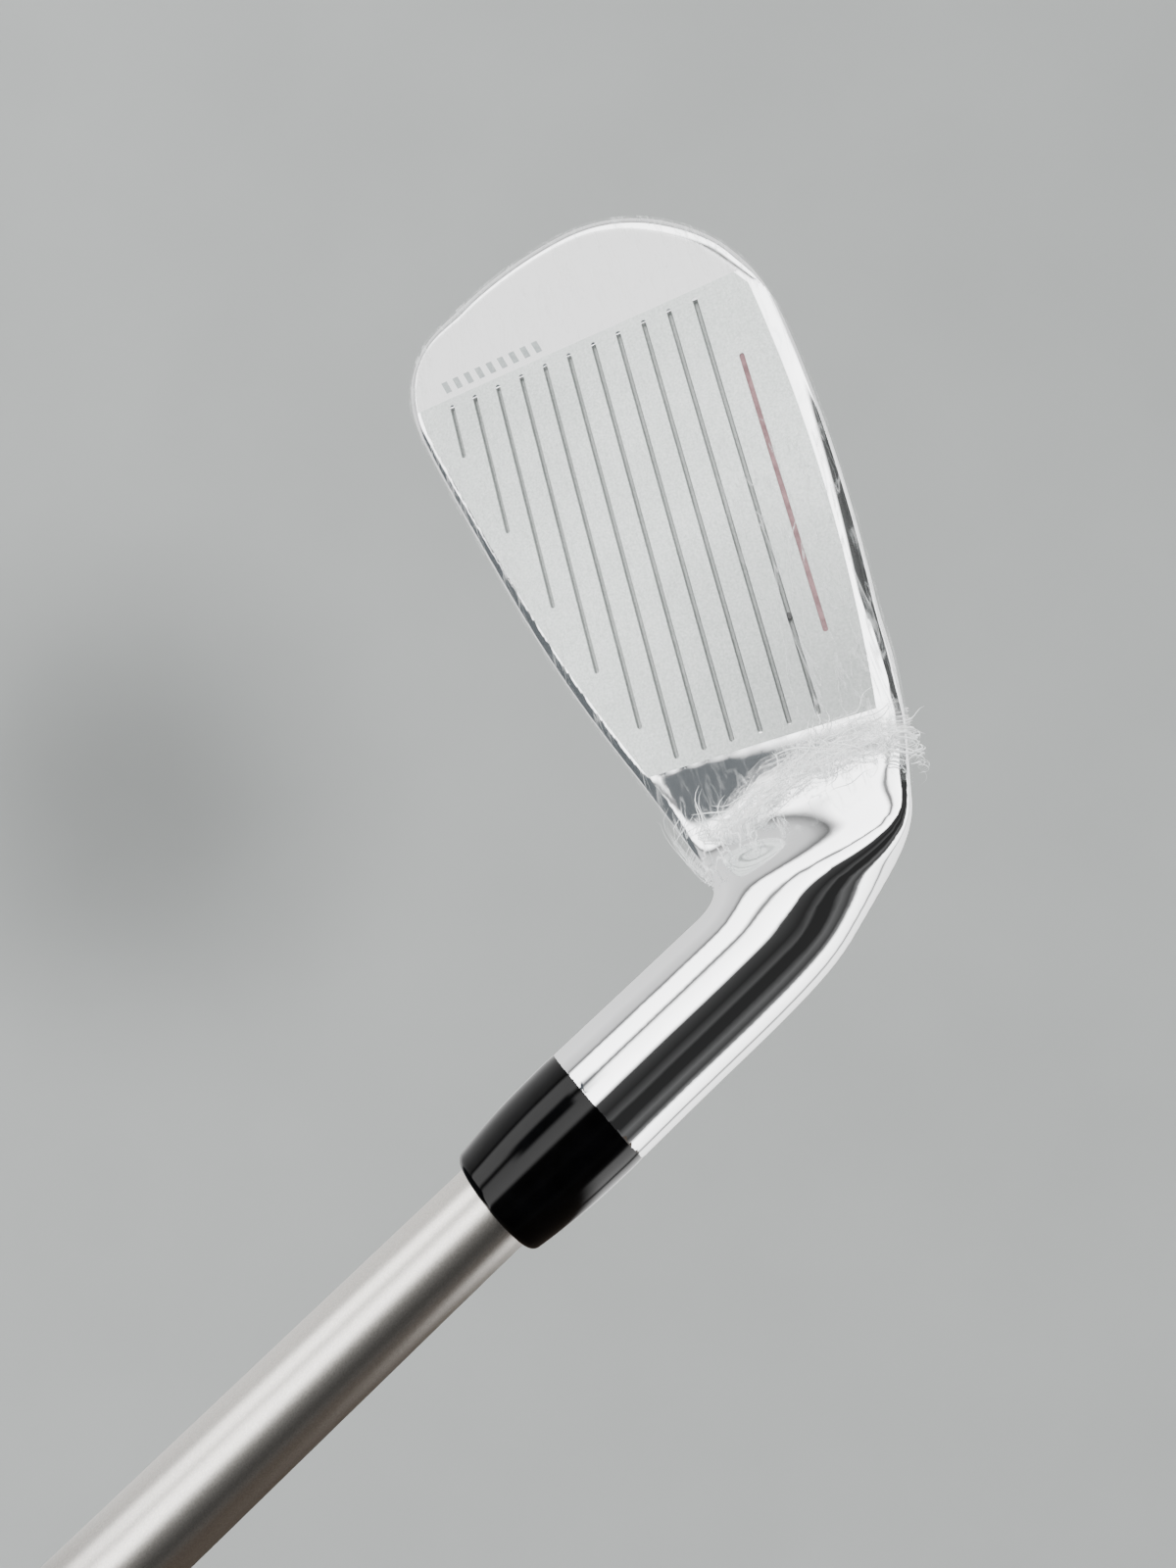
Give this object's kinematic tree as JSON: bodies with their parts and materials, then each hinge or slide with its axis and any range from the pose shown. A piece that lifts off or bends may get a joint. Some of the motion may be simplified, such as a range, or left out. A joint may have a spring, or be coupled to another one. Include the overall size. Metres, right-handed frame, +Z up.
{
  "type": "iron golf club",
  "caption": "Left-handed long iron: forged chrome cavity-back head with a grooved face, black ferrule, silver shaft, ribbed rubber grip and a clear shrink film over the blade.",
  "frame": {"origin": "where the shaft's axis meets the ground with the sole resting on it at address", "axes": "+Z up, hitting face toward -Y, toe toward +X, shaft leaning up toward -X at a lie of 61.5 degrees"},
  "size_m": [0.5574, 0.0346, 0.86],
  "materials": {
    "head_chrome": "polished chrome plate",
    "face_satin": "blasted and milled satin",
    "score_paint": "maroon line paint",
    "badge_aluminium": "brushed",
    "damper_rubber": "matt elastomer",
    "ferrule_plastic": "polished black",
    "bond_epoxy": "cured adhesive",
    "plug_brass": "turned",
    "shaft_silver": "satin metallic paint on a carbon composite tube",
    "grip_rubber": "matt moulded rubber",
    "tape_paper": "crepe adhesive tape",
    "film_clear": "clear shrink film"
  },
  "bodies": {
    "root": {"head_body": "head_chrome", "face_plate": "face_satin", "score_line_paint": "score_paint", "cavity_damper": "damper_rubber", "cavity_badge": "badge_aluminium", "ferrule": "ferrule_plastic", "shaft_bond": "bond_epoxy", "tip_plug": "plug_brass", "shaft": "shaft_silver", "grip_tape": "tape_paper", "grip": "grip_rubber", "grip_cap": "grip_rubber", "head_film": "film_clear"}
  },
  "joints": []
}
